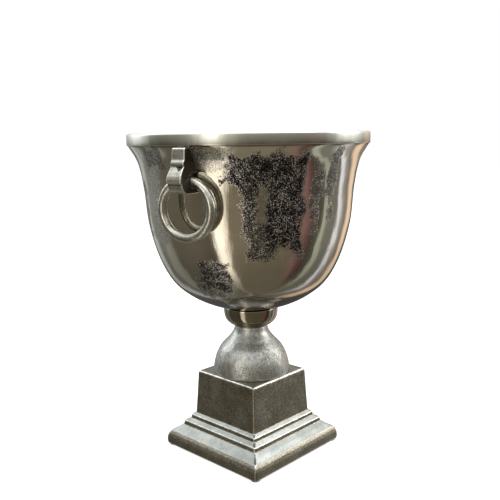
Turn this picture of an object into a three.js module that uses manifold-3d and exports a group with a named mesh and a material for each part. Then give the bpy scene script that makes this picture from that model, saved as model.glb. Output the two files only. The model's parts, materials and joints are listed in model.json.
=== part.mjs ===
// Champagne bucket: a cast bowl with two ring handles on a bell stem and a hollow square pedestal.
// Millimetres, +Z up, standing on z = 0 with the origin under the centre of the base.
import * as THREE from 'three';
import { mergeVertices } from 'three/addons/utils/BufferGeometryUtils.js';
import Module from 'manifold-3d';

const wasm = await Module();
wasm.setup();

// ---- driving dimensions ----
const gap = 0.3;                  // clearance between pieces that touch
const bowlTurn = 15;              // degrees that the handles stand round from the pedestal's faces
const roundSides = 48;            // facets of the bowl
const stemSides = 32;             // facets of the collar and the bell

const totalHeight = 354;
const rimRadius = 130;            // outside of the upright band
const bandHeight = 12.5;
const bandFootRadius = 128.6;     // where the flared wall runs into the band
const wall = 4.5;                 // bowl wall
const bowlFloorTop = 169.5;
const bowlFloorRadius = 30;       // flat part of the bowl's floor
const bowlSeatZ = 163.2;          // underside of the bowl, on the collar
const bowlSeatRadius = 29;
const bossRadius = 13.5;
const bossDepth = 14;
const bossBoreTopZ = 160;         // blind end of the rod's hole in the boss

const collarFootZ = 141;
const bellFootZ = 88.2;
const bellWall = 5;
const bellTopWall = 9;

const blockTopZ = 87.9;
const blockTopHalf = 43.2;
const plinthHalf = 70.3;
const pedestalFootZ = 1.2;
const pedestalTopWall = 8;

const rodRadius = 5;              // M10
const rodHoleRadius = 5.5;
const rodFootZ = 62;
const washerRadius = 10.5;
const washerThickness = 2;
const springWasherRadius = 8.6;
const springWasherThickness = 2.4;
const springWasherSplit = 12;     // degrees
const nutHalfWidth = 8;
const nutHeight = 8;

const ringRadius = 27.2;          // centre line of the handle ring
const ringTube = 4.65;
const pivotRadius = 123.6;        // distance of the ring's hinge line from the bowl's axis
const pivotZ = 310;
const hookHoleRadius = 6.7;       // slot that the ring lies in
const hookCentre = [131.5, 308.5];
const hookRadius = 10.6;          // round end of the hook in front of and below the ring
const hookBackRadius = 111;       // inside the bowl's wall, where the bracket is trimmed to it
const bracketWidth = 14.2;
const bracketFootZ = 326;         // the bracket widens from here
const tongueWidth = 16;
const tongueZ = 308;              // down to here

const screwRadius = 2.5;          // M5
const screwHoleRadius = 2.8;
const screwZ = 329;
const screwLength = 8.9;          // past the outside of the wall
const screwHeadRadius = 4.8;
const screwHeadHeight = 2.7;
const screwSocketRadius = 1.6;
const sealRadius = 5.4;
const sealThickness = 1;

const footRadius = 5;
const footThickness = 0.9;
const footPlace = 64.2;

// ---- materials ----
const metal = (color, roughness) => new THREE.MeshStandardMaterial({ color, roughness, metalness: 1 });
const polishedNickel = metal(0xa39a8c, 0.16);
const satinNickel = metal(0xb4b5ac, 0.34);
const pedestalNickel = metal(0x8f8c80, 0.42);
const steel = metal(0x9a9c9e, 0.35);
const felt = new THREE.MeshStandardMaterial({ color: 0x2c3330, roughness: 0.95, metalness: 0 });
const fibre = new THREE.MeshStandardMaterial({ color: 0x5c2f25, roughness: 0.8, metalness: 0 });

// ---- helpers ----
const radians = THREE.MathUtils.degToRad;

// A body turned about Z from [radius, z] points.
function turned(profile, sides) {
  const points = profile.map(([radius, z]) => new THREE.Vector2(radius, z));
  return new THREE.LatheGeometry(points, sides, 0, 2 * Math.PI).rotateX(Math.PI / 2);
}

// A body of square sections about Z from [half side, z] points.
function squareTurned(profile) {
  const points = profile.map(([half, z]) => new THREE.Vector2(half * Math.SQRT2, z));
  return new THREE.LatheGeometry(points, 4, Math.PI / 4, 2 * Math.PI).rotateX(Math.PI / 2);
}

// A smooth curve through [radius, z] points, sampled into `count` steps.
function smooth(points, count) {
  const knots = points.map(([radius, z]) => new THREE.Vector3(radius, z, 0));
  const curve = new THREE.CatmullRomCurve3(knots, false, 'centripetal');
  return curve.getSpacedPoints(count).map((point) => [point.x, point.y]);
}

// The same curve moved sideways by `distance`; positive is to the right of its direction.
function offset(points, distance) {
  return points.map(([x, z], i) => {
    const before = points[Math.max(i - 1, 0)];
    const after = points[Math.min(i + 1, points.length - 1)];
    const direction = new THREE.Vector2(after[0] - before[0], after[1] - before[1]).normalize();
    return [x + direction.y * distance, z - direction.x * distance];
  });
}

// An arc of [x, z] points about a centre, from one angle to another in degrees.
function arc([x, z], radius, from, to, steps) {
  return Array.from({ length: steps + 1 }, (_, i) => {
    const angle = radians(from + ((to - from) * i) / steps);
    return [x + radius * Math.cos(angle), z + radius * Math.sin(angle)];
  });
}

// A flat shape made `depth` thick along Z.
function extruded(shape, depth) {
  return new THREE.ExtrudeGeometry(shape, { depth, bevelEnabled: false, curveSegments: 24 });
}

function rod(radius, from, to, sides = 24) {
  return turned([[0, from], [radius, from], [radius, to], [0, to]], sides);
}

function solid(geometry) {
  const bare = geometry.clone();
  bare.deleteAttribute('normal');
  bare.deleteAttribute('uv');
  const merged = mergeVertices(bare, 1e-4);
  return new wasm.Manifold(new wasm.Mesh({
    numProp: 3,
    vertProperties: new Float32Array(merged.attributes.position.array),
    triVerts: new Uint32Array(merged.index.array),
  }));
}

function geometryOf(manifold) {
  const mesh = manifold.getMesh();
  const geometry = new THREE.BufferGeometry();
  geometry.setAttribute('position', new THREE.BufferAttribute(mesh.vertProperties, 3));
  geometry.setIndex(new THREE.BufferAttribute(mesh.triVerts, 1));
  return geometry;
}

function cut(geometry, ...cutters) {
  return geometryOf(cutters.reduce((body, cutter) => body.subtract(solid(cutter)), solid(geometry)));
}

function piece(name, geometry, material, parent) {
  const mesh = new THREE.Mesh(geometry, material);
  mesh.name = name;
  parent.add(mesh);
  return mesh;
}

// ---- bowl ----
const bandFootZ = totalHeight - bandHeight;
const bowlOutside = smooth([
  [bowlSeatRadius, bowlSeatZ],
  [50.5, 170.7],
  [68.5, 180.5],
  [84.3, 194.3],
  [97.8, 217.8],
  [109.3, 257],
  [114, 299.2],
  [119.6, 325.7],
  [bandFootRadius, bandFootZ],
], 15);

function wallRadiusAt(z) {
  const i = bowlOutside.findIndex((point) => point[1] > z);
  const [low, high] = [bowlOutside[i - 1], bowlOutside[i]];
  return low[0] + ((high[0] - low[0]) * (z - low[1])) / (high[1] - low[1]);
}

const bowlInside = offset(bowlOutside, -wall).filter(([radius, z]) => z > bowlFloorTop + 1);
const lip = arc([rimRadius - wall / 2, totalHeight - wall / 2], wall / 2, 0, 180, 6);

// The screw's axis is square to the wall; its zero is on the wall's outside.
const screwStart = new THREE.Vector3(wallRadiusAt(screwZ), 0, screwZ);
const screwSlope = Math.atan2(wallRadiusAt(screwZ + 3) - wallRadiusAt(screwZ - 3), 6);

function onScrewAxis(geometry) {
  const placed = geometry.clone().rotateY(Math.PI / 2 + screwSlope);
  return placed.translate(screwStart.x, screwStart.y, screwStart.z);
}

function bowlGeometry() {
  const body = turned([
    [0, bossBoreTopZ],
    [rodRadius + gap, bossBoreTopZ],
    [rodRadius + gap, bowlSeatZ - bossDepth],
    [bossRadius, bowlSeatZ - bossDepth],
    [bossRadius, bowlSeatZ],
    ...bowlOutside,
    [rimRadius, bandFootZ + 0.6],
    ...lip,
    [rimRadius - wall, bandFootZ + 1.5],
    ...bowlInside.reverse(),
    [bowlFloorRadius, bowlFloorTop],
    [0, bowlFloorTop],
  ], roundSides);
  const hole = onScrewAxis(rod(screwHoleRadius, -wall - 5, 3, 16));
  return cut(body, hole, hole.clone().rotateZ(Math.PI));
}

// ---- stem ----
function collarGeometry() {
  const top = bowlSeatZ - gap;
  const socketFloor = bowlSeatZ - bossDepth - gap;
  return turned([
    [rodHoleRadius, collarFootZ],
    [18.4, collarFootZ],
    ...smooth([[19.4, collarFootZ + 0.8], [23.4, 144], [27.6, 148], [29.6, 153], [30.3, 158.5]], 6),
    [29.9, top - 0.8],
    [29.2, top],
    [bossRadius + gap, top],
    [bossRadius + gap, socketFloor],
    [rodHoleRadius, socketFloor],
    [rodHoleRadius, collarFootZ],
  ], stemSides);
}

function bellGeometry() {
  const top = collarFootZ - gap;
  const outside = smooth([
    [42.4, bellFootZ],
    [43, 90.5],
    [42.2, 97.5],
    [39.6, 107],
    [34.4, 117],
    [25.6, 126.6],
    [20, 134.5],
    [18.2, top],
  ], 10);
  const inside = offset(outside, -bellWall).filter(([, z]) => z > bellFootZ + 1 && z < top - bellTopWall);
  return turned([
    [outside[0][0] - bellWall, bellFootZ],
    ...outside,
    [rodHoleRadius, top],
    [rodHoleRadius, top - bellTopWall],
    ...inside.reverse(),
    [outside[0][0] - bellWall, bellFootZ],
  ], stemSides);
}

// ---- pedestal ----
function pedestalGeometry() {
  const outside = [
    [plinthHalf - 0.7, pedestalFootZ],
    [plinthHalf, 4],
    [plinthHalf - 0.2, 9],
    [plinthHalf - 1.6, 13.6],
    [66.3, 16.9],
    [61, 20.2],
    [56.4, 24],
    [55.6, 28.2],
    [50.3, 31.4],
    [49.8, 35.2],
    [45.9, 37.8],
    [44.6, 60],
    [blockTopHalf, blockTopZ - 1],
    [blockTopHalf - 0.8, blockTopZ],
  ];
  const inside = [
    [36.5, blockTopZ - pedestalTopWall],
    [39.5, 36],
    [47, 29],
    [50, 20],
    [59, 15],
    [59.6, pedestalFootZ],
  ];
  const body = squareTurned([[0, blockTopZ - pedestalTopWall], ...inside, ...outside, [0, blockTopZ]]);
  return cut(body, rod(rodHoleRadius, blockTopZ - pedestalTopWall - 2, blockTopZ + 2));
}

// ---- tie rod and its nut ----
function rodGeometry() {
  const top = bossBoreTopZ - gap;
  return turned([
    [0, rodFootZ],
    [rodRadius - 1, rodFootZ],
    [rodRadius, rodFootZ + 1],
    [rodRadius, top - 1],
    [rodRadius - 1, top],
    [0, top],
  ], 24);
}

function ringPlate(inner, outer, bottom, thickness, sides = 32) {
  const top = bottom + thickness;
  return turned([[inner, bottom], [outer, bottom], [outer, top], [inner, top], [inner, bottom]], sides);
}

// A ring with a narrow split in it.
function splitRing(inner, outer, bottom, thickness) {
  const shape = new THREE.Shape();
  const start = radians(springWasherSplit / 2);
  shape.absarc(0, 0, outer, start, 2 * Math.PI - start, false);
  shape.absarc(0, 0, inner, 2 * Math.PI - start, start, true);
  shape.closePath();
  return extruded(shape, thickness).translate(0, 0, bottom);
}

function nutGeometry(bottom) {
  const corners = arc([0, 0], nutHalfWidth / Math.cos(Math.PI / 6), 0, 300, 5);
  const shape = new THREE.Shape(corners.map(([x, y]) => new THREE.Vector2(x, y)));
  const prism = extruded(shape, nutHeight).translate(0, 0, bottom);
  return cut(prism, rod(rodRadius + gap, bottom - 1, bottom + nutHeight + 1));
}

// ---- handles ----
// The bracket's side view: its back lies on the bowl wall, a slot behind its hook holds the ring.
function bracketGeometry() {
  const pivot = [pivotRadius, pivotZ];
  const outline = [
    [122, 340.3],
    [133.6, 340.3],
    [134.4, 339.3],
    [135, 332],
    [135.4, 329.6],
    [136.8, 328],
    [137.3, 325.8],
    [136.9, 323.6],
    [138.1, 321.8],
    [140.8, 318.7],
    [143, 315],
    [143.8, 311.5],
    [143.7, 308.8],
    [142.9, 307.7],
    ...arc(hookCentre, hookRadius, -5, -90, 7),
    [hookBackRadius, hookCentre[1] - hookRadius],
    [hookBackRadius, pivotZ - hookHoleRadius],
    ...arc(pivot, hookHoleRadius, -90, 90, 10),
    [hookBackRadius, pivotZ + hookHoleRadius],
  ];
  const shape = new THREE.Shape(outline.map(([x, z]) => new THREE.Vector2(x, z)));
  const body = extruded(shape, bracketWidth);
  body.rotateX(Math.PI / 2).translate(0, bracketWidth / 2, 0);
  const position = body.attributes.position;
  for (let i = 0; i < position.count; i += 1) {
    const spread = 1 - THREE.MathUtils.smoothstep(position.getZ(i), tongueZ, bracketFootZ);
    position.setY(i, position.getY(i) * (1 + spread * (tongueWidth / bracketWidth - 1)));
  }
  const clearance = offset(bowlOutside, gap);
  const bowlBody = turned([[0, bowlSeatZ], ...clearance, [rimRadius + gap, bandFootZ + 0.4],
    [rimRadius + gap, totalHeight], [0, totalHeight]], roundSides);
  const threadHole = onScrewAxis(rod(screwHoleRadius, -3, 9.5, 16));
  return cut(body, bowlBody, threadHole);
}

function screwGeometry() {
  const underHead = -wall - sealThickness - 2 * gap;
  const headTop = underHead - screwHeadHeight;
  const socketFloor = headTop + screwHeadHeight / 2;
  return onScrewAxis(turned([
    [0, socketFloor],
    [screwSocketRadius, socketFloor],
    [screwSocketRadius, headTop],
    [screwHeadRadius - 2, headTop + 0.15],
    [screwHeadRadius - 0.6, headTop + 0.9],
    [screwHeadRadius, headTop + 2],
    [screwHeadRadius, underHead],
    [screwRadius, underHead],
    [screwRadius, screwLength - 0.6],
    [screwRadius - 0.6, screwLength],
    [0, screwLength],
  ], 18));
}

function sealGeometry() {
  return onScrewAxis(ringPlate(screwHoleRadius, sealRadius, -wall - gap - sealThickness, sealThickness, 20));
}

function handleRingGeometry() {
  const ring = new THREE.TorusGeometry(ringRadius, ringTube, 8, 36).rotateY(Math.PI / 2);
  return ring.translate(pivotRadius, 0, pivotZ - ringRadius);
}

// ---- assembly ----
const bucket = new THREE.Group();

piece('pedestal', pedestalGeometry(), pedestalNickel, bucket);
for (const [across, sideName] of [[-1, 'left'], [1, 'right']]) {
  for (const [along, endName] of [[-1, 'front'], [1, 'back']]) {
    const disc = rod(footRadius, 0, footThickness, 20);
    const foot = piece(`felt_foot_${endName}_${sideName}`, disc, felt, bucket);
    foot.position.set(across * footPlace, along * footPlace, 0);
  }
}

const washerZ = blockTopZ - pedestalTopWall - gap - washerThickness;
const springWasherZ = washerZ - gap - springWasherThickness;
const nutZ = springWasherZ - gap - nutHeight;
const springWasher = splitRing(rodHoleRadius, springWasherRadius, springWasherZ, springWasherThickness);
piece('flat_washer', ringPlate(rodHoleRadius, washerRadius, washerZ, washerThickness), steel, bucket);
piece('spring_washer', springWasher, steel, bucket);
piece('hex_nut', nutGeometry(nutZ), steel, bucket);
piece('tie_rod', rodGeometry(), steel, bucket);

piece('stem_bell', bellGeometry(), satinNickel, bucket);
piece('stem_collar', collarGeometry(), polishedNickel, bucket);

const upper = new THREE.Group();
upper.rotation.z = radians(bowlTurn);
bucket.add(upper);
piece('bowl', bowlGeometry(), polishedNickel, upper);

for (const [turn, sideName] of [[Math.PI, 'left'], [0, 'right']]) {
  const side = new THREE.Group();
  side.rotation.z = turn;
  upper.add(side);
  piece(`handle_bracket_${sideName}`, bracketGeometry(), satinNickel, side);
  piece(`handle_ring_${sideName}`, handleRingGeometry(), satinNickel, side);
  piece(`bracket_screw_${sideName}`, screwGeometry(), steel, side);
  piece(`bracket_seal_${sideName}`, sealGeometry(), fibre, side);
}

export default bucket;
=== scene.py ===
# Looks of a champagne bucket on a bell stem and a square pedestal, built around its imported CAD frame.
# Shapes are worked out in millimetres and turned into metres where a mesh is made; +Z is up.
import json
import math

import bmesh
import bpy
import numpy as np
from mathutils import Matrix, Vector, noise

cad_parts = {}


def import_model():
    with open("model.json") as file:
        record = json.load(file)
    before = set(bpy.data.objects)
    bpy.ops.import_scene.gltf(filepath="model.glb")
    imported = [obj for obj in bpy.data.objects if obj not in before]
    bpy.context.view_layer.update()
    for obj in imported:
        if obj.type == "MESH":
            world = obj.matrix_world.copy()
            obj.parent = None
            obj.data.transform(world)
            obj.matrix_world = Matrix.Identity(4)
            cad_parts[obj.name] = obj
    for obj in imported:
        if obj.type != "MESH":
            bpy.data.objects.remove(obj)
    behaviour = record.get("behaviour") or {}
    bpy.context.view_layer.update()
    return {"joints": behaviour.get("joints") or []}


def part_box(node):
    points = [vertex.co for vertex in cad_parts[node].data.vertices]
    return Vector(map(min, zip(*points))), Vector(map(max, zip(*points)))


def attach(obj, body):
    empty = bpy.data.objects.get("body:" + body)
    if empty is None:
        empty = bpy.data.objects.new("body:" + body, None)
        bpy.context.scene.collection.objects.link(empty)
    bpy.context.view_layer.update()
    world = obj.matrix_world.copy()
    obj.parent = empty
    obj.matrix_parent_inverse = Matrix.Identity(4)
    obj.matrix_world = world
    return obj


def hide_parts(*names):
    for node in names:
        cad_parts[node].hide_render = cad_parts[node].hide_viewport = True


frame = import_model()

MM = 0.001

# ---- driving dimensions, millimetres ----
GAP = 0.3
WALL = 4.5
BAND_HEIGHT = 12.5
BAND_FOOT_RADIUS = 128.6
BOWL_SEAT_RADIUS = 29
BOWL_FLOOR_RADIUS = 30
BOWL_FLOOR_Z = 169.5
BOSS_RADIUS = 13.5
BOSS_BORE_TOP = 160
ROD_RADIUS = 5
ROD_HOLE_RADIUS = 5.5
THREAD_PITCH = 1.5
BELL_WALL = 5
BELL_TOP_WALL = 9
PEDESTAL_TOP_WALL = 8
RING_TUBE = 4.65
BRACKET_WIDTH = 14.2
BRACKET_FOOT_Z = 326               # the bracket widens from here
TONGUE_WIDTH = 16
TONGUE_Z = 308                     # down to here
HOOK_CENTRE = (131.5, 308.5)
HOOK_RADIUS = 10.6
HOOK_HOLE_RADIUS = 6.7
BRACKET_BACK = 12.6                # behind the pivot; then moved out to follow the wall
SCREW_Z = 329
SCREW_RADIUS = 2.5
SCREW_LENGTH = 8.9                 # past the outside of the wall
SCREW_HEAD_RADIUS = 4.8
SCREW_HEAD_HEIGHT = 2.7
SCREW_SOCKET_HALF = 1.5            # half of the hexagon key's width
SEAL_RADIUS = 5.4
SEAL_HOLE_RADIUS = 2.8
SEAL_THICKNESS = 1
BOWL_COLUMNS = 240                 # points round the bowl


def frame_box(node):
    """Lowest and highest corner of a CAD node, in millimetres."""
    return tuple(np.array(corner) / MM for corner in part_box(node))


HEIGHT = frame_box("bowl")[1][2]
RIM_RADIUS = frame_box("bowl")[1][0]
BAND_FOOT_Z = HEIGHT - BAND_HEIGHT
BOSS_FOOT_Z = frame_box("bowl")[0][2]
COLLAR_FOOT_Z = frame_box("stem_collar")[0][2]
BOWL_SEAT_Z = frame_box("stem_collar")[1][2] + GAP
BELL_FOOT_Z = frame_box("stem_bell")[0][2]
BELL_TOP_Z = frame_box("stem_bell")[1][2]
PEDESTAL_FOOT_Z = frame_box("pedestal")[0][2]
BLOCK_TOP_Z = frame_box("pedestal")[1][2]
PLINTH_HALF = frame_box("pedestal")[1][0]
JOINTS = {joint["child"]: joint for joint in frame["joints"]}
PIVOT = {side: np.array(JOINTS[f"ring_{side}"]["pos_m"]) / MM for side in ("left", "right")}
PIVOT_RADIUS = float(np.hypot(*PIVOT["right"][:2]))
PIVOT_Z = float(PIVOT["right"][2])


# ---- outlines ----
def smooth(points, spacing=2.0):
    """A centripetal Catmull-Rom curve through [radius, z] points, in steps of about `spacing`."""
    knots = np.array(points, float)
    knots = np.vstack([2 * knots[0] - knots[1], knots, 2 * knots[-1] - knots[-2]])
    out = []
    for before, start, end, after in zip(knots, knots[1:], knots[2:], knots[3:]):
        t0, t1, t2 = (math.sqrt(np.linalg.norm(d)) for d in (start - before, end - start, after - end))
        leave = ((start - before) / t0 - (end - before) / (t0 + t1) + (end - start) / t1) * t1
        arrive = ((end - start) / t1 - (after - start) / (t1 + t2) + (after - end) / t2) * t1
        steps = max(1, round(np.linalg.norm(end - start) / spacing))
        t = np.arange(steps)[:, None] / steps
        out.append(start + leave * t + (3 * (end - start) - 2 * leave - arrive) * t**2
                   + (2 * (start - end) + leave + arrive) * t**3)
    return np.vstack(out + [knots[-2:-1]])


def offset(points, distance):
    """The outline moved sideways; positive is to the right of its direction."""
    direction = np.gradient(np.asarray(points, float), axis=0)
    direction /= np.linalg.norm(direction, axis=1)[:, None]
    return points + distance * np.column_stack([direction[:, 1], -direction[:, 0]])


def arc(centre, radius, start, end, steps):
    angles = np.radians(np.linspace(start, end, steps + 1))
    return np.column_stack([centre[0] + radius * np.cos(angles), centre[1] + radius * np.sin(angles)])


def filleted(points, radius, closed=False, steps=5):
    """The outline with its corners rounded, by at most `radius` back from each corner."""
    points = np.array(points, float)
    count = len(points)
    out = []
    for i, corner in enumerate(points):
        if not closed and i in (0, count - 1):
            out.append(corner[None])
            continue
        back, ahead = points[i - 1] - corner, points[(i + 1) % count] - corner
        reach = min(radius, 0.45 * np.linalg.norm(back), 0.45 * np.linalg.norm(ahead))
        start = corner + back / np.linalg.norm(back) * reach
        end = corner + ahead / np.linalg.norm(ahead) * reach
        t = np.linspace(0, 1, steps + 1)[:, None]
        out.append((1 - t) ** 2 * start + 2 * t * (1 - t) * corner + t**2 * end)
    return np.vstack(out)


def resampled(points, spacing, closed=False):
    """The outline with points added, so that no step is longer than `spacing`."""
    points = np.asarray(points, float)
    following = np.roll(points, -1, axis=0) if closed else points[1:]
    out = []
    for start, end in zip(points, following):
        steps = max(1, math.ceil(np.linalg.norm(end - start) / spacing))
        out.append(start + (end - start) * (np.arange(steps) / steps)[:, None])
    return np.vstack(out if closed else out + [points[-1:]])


def edge_wear_and_hollow_shade(points, reach=0.9, closed=False):
    """How convex (up to 1) or hollow (down to -1) the outline is near each point.
    The material lies on the left of the outline's direction."""
    points = np.asarray(points, float)
    if closed:
        full = edge_wear_and_hollow_shade(np.vstack([points] * 3), reach)
        return full[len(points):2 * len(points)]
    step = np.diff(points, axis=0)
    length = np.linalg.norm(step, axis=1)
    heading = np.unwrap(np.arctan2(step[:, 1], step[:, 0]))
    along = np.concatenate([[0], np.cumsum(length)])
    middle = (along[1:] + along[:-1]) / 2
    turn = np.interp(along + reach, middle, heading) - np.interp(along - reach, middle, heading)
    return np.clip(turn / math.radians(60), -1, 1)


# ---- meshes ----
def ripple(point, size, seed=0.0):
    """Smooth noise from about -1 to 1 at a point in millimetres."""
    return noise.fractal(Vector(point) / size + Vector((seed, 0.37 * seed, -seed)), 0.9, 2.0, 3)


def uneven(grid, height, size, seed=0.0):
    """The slight waves of a casting: moves each point to or from the Z axis by up to about `height`."""
    flat = grid.reshape(-1, 3)
    radius = np.hypot(flat[:, 0], flat[:, 1])
    wave = np.array([ripple(p, size, seed) for p in flat]) * height
    share = np.where(radius > 1, 1 + wave / np.maximum(radius, 1), 1)
    flat = np.column_stack([flat[:, 0] * share, flat[:, 1] * share, flat[:, 2]])
    return flat.reshape(grid.shape)


def piece(name, points, faces, body, material, wear_and_shade=None, sharp=38):
    """A finished piece that rides on a body and stands for the CAD node of its own name."""
    mesh = bpy.data.meshes.new(name)
    mesh.from_pydata((np.asarray(points) * MM).tolist(), [], faces)
    attribute = mesh.attributes.new("wear_and_shade", "FLOAT", "POINT")
    attribute.data.foreach_set("value", np.zeros(len(points)) if wear_and_shade is None else np.ravel(wear_and_shade))
    work = bmesh.new()
    work.from_mesh(mesh)
    bmesh.ops.remove_doubles(work, verts=work.verts, dist=1e-6)
    bmesh.ops.dissolve_degenerate(work, edges=work.edges, dist=1e-7)
    bmesh.ops.recalc_face_normals(work, faces=work.faces)
    work.to_mesh(mesh)
    work.free()
    mesh.shade_smooth()
    for face in mesh.polygons:
        face.use_smooth = len(face.vertices) <= 4
    mesh.set_sharp_from_angle(angle=math.radians(sharp))
    made = bpy.data.objects.new(name, mesh)
    bpy.context.scene.collection.objects.link(made)
    mesh.materials.append(material)
    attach(made, body)
    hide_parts(name.removesuffix("_fine"))


def quads(rows, columns, close_rows=False, capped=False):
    """Faces of a grid of points whose rows close on themselves; capped also fills the first and last row."""
    index = np.arange(rows * columns).reshape(rows, columns)
    if close_rows:
        index = np.vstack([index, index[:1]])
    low, high = index[:-1], index[1:]
    faces = np.stack([low, np.roll(low, -1, 1), np.roll(high, -1, 1), high], -1).reshape(-1, 4).tolist()
    return faces + [index[0, ::-1].tolist(), index[-1].tolist()] if capped else faces


def turned(profile, columns):
    """A grid of points: the [radius, z] outline turned about Z."""
    angles = np.arange(columns) * 2 * math.pi / columns
    profile = np.asarray(profile, float)
    return np.stack([
        profile[:, :1] * np.cos(angles),
        profile[:, :1] * np.sin(angles),
        np.repeat(profile[:, 1:], columns, axis=1),
    ], -1)


def turned_piece(name, profile, columns, material, waves=None, closed=False):
    """A turned piece marked bright on its convex edges and for painted shade in its hollows; waves is the
    height, size and seed of its casting's waves, and a closed outline goes round a hole."""
    grid = turned(profile, columns)
    if waves:
        grid = uneven(grid, *waves)
    wear_and_shade = np.repeat(edge_wear_and_hollow_shade(profile, closed=closed)[:, None], columns, axis=1)
    faces = quads(*grid.shape[:2], close_rows=closed)
    piece(name, grid.reshape(-1, 3), faces, "bucket", material, wear_and_shade)


def placed(points, turn, move=(0, 0, 0)):
    """Points turned about Z by `turn` radians after being moved."""
    points = np.asarray(points, float) + np.array(move)
    c, s = math.cos(turn), math.sin(turn)
    return np.stack([points[..., 0] * c - points[..., 1] * s,
                     points[..., 0] * s + points[..., 1] * c, points[..., 2]], -1)


# ---- shader nodes ----
class Shader:
    """The node tree of a material or world, with short calls for the nodes that the looks are made of."""

    def __init__(self, owner, kind):
        owner.use_nodes = True
        self.owner = owner
        self.tree = owner.node_tree
        self.tree.nodes.clear()
        self.output = self.node("Output" + kind)

    def put(self, socket, value):
        if isinstance(value, bpy.types.NodeSocket):
            self.tree.links.new(value, socket)
        else:
            socket.default_value = value

    def node(self, kind, **inputs):
        made = self.tree.nodes.new("ShaderNode" + kind)
        for name, value in inputs.items():
            self.put(made.inputs[name.replace("_", " ")], value)
        return made

    def math(self, operation, *values, clamp=False):
        made = self.tree.nodes.new("ShaderNodeMath")
        made.operation = operation
        made.use_clamp = clamp
        for socket, value in zip(made.inputs, values):
            self.put(socket, value)
        return made.outputs[0]

    def vector(self, operation, a, b=None, scale=None):
        made = self.tree.nodes.new("ShaderNodeVectorMath")
        made.operation = operation
        self.put(made.inputs[0], a)
        if b is not None:
            self.put(made.inputs[1], b)
        if scale is not None:
            made.inputs["Scale"].default_value = scale
        return made.outputs["Value" if operation in ("LENGTH", "DOT_PRODUCT") else "Vector"]

    def ramp(self, value, *stops):
        """A colour ramp, straight from each (position, grey or colour) stop to the next."""
        made = self.node("ValToRGB", Fac=value)
        elements = made.color_ramp.elements
        while len(elements) < len(stops):
            elements.new(0.5)
        for element, (position, colour) in zip(elements, stops):
            element.position = position
            element.color = (colour,) * 3 + (1,) if isinstance(colour, (int, float)) else (*colour, 1)
        return made.outputs["Color"]

    def mix(self, share, a, b):
        """Colour a where share is 0, and b where it is 1."""
        made = self.tree.nodes.new("ShaderNodeMix")
        made.data_type = "RGBA"
        for socket, value in ((made.inputs[0], share), (made.inputs[6], a), (made.inputs[7], b)):
            self.put(socket, (*value, 1) if isinstance(value, tuple) and len(value) == 3 else value)
        return made.outputs[2]

    def blend(self, share, a, b):
        """Number a where share is 0, and b where it is 1."""
        made = self.tree.nodes.new("ShaderNodeMix")
        for socket, value in ((made.inputs[0], share), (made.inputs[2], a), (made.inputs[3], b)):
            self.put(socket, value)
        return made.outputs[0]

    def finished(self, shade):
        self.tree.links.new(shade, self.output.inputs["Surface"])
        return self.owner


class Surface(Shader):
    """A material's node tree; `place` is the place on the object in millimetres."""

    def __init__(self, name):
        super().__init__(bpy.data.materials.new(name), "Material")
        self.place = self.vector("SCALE", self.node("TexCoord").outputs["Object"], scale=1 / MM)

    def height(self):
        return self.node("SeparateXYZ", Vector=self.place).outputs[2]

    def facing(self):
        return self.node("NewGeometry").outputs["Normal"]

    def noise(self, size, detail=3.0, roughness=0.55, distortion=0.0, stretch=(1, 1, 1), shift=0.0):
        """Noise from 0 to 1 whose features are about `size` millimetres across."""
        place = self.vector("MULTIPLY_ADD", self.place, stretch)
        place.node.inputs[2].default_value = (shift, 2 * shift, -shift)
        made = self.node("TexNoise", Vector=place, Scale=1 / size, Detail=detail, Roughness=roughness,
                         Distortion=distortion)
        return made.outputs["Fac"]

    def wear_and_shade_mask(self):
        """The mesh's mark: up to 1 on convex edges, scuffed bright, and down to -1 in hollows and other
        places where shade is painted.
        """
        made = self.node("Attribute")
        made.attribute_name = "wear_and_shade"
        return made.outputs["Fac"]

    def bump(self, *layers):
        """Bump from (height socket, depth in millimetres) layers."""
        normal = None
        for height, depth in layers:
            made = self.node("Bump", Height=height, Distance=depth * MM, Strength=1.0)
            if normal is not None:
                self.put(made.inputs["Normal"], normal)
            normal = made.outputs["Normal"]
        return normal

    def metal(self, colour, roughness, normal):
        made = self.node("BsdfPrincipled", Metallic=1.0, Base_Color=colour, Roughness=roughness,
                         Normal=normal)
        return self.finished(made.outputs[0])


PATCH_RAGGED = 17                  # millimetres that a patch's edge moves where the edge noise is 1


def patch(shader, azimuth, z, half_width, half_height, edge):
    """1 inside a ragged rectangle on the wall at that azimuth and height, falling to 0 outside."""
    turned_place = shader.node("VectorRotate", Vector=shader.place, Angle=math.radians(-azimuth))
    turned_place.rotation_type = "Z_AXIS"
    near = shader.vector("SUBTRACT", turned_place.outputs[0], (RIM_RADIUS - 20, 0, z))
    near = shader.vector("MULTIPLY", near, (1 / 70, 1 / half_width, 1 / half_height))
    sides = shader.node("SeparateXYZ", Vector=shader.vector("ABSOLUTE", near))
    reach = shader.math("MAXIMUM", sides.outputs[1], sides.outputs[2])
    reach = shader.math("MAXIMUM", reach, sides.outputs[0])
    ragged = shader.math("MULTIPLY", edge, PATCH_RAGGED / min(half_width, half_height))
    reach = shader.math("ADD", reach, ragged)
    return shader.math("MULTIPLY_ADD", reach, -6.0, 6.7, clamp=True)


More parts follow.
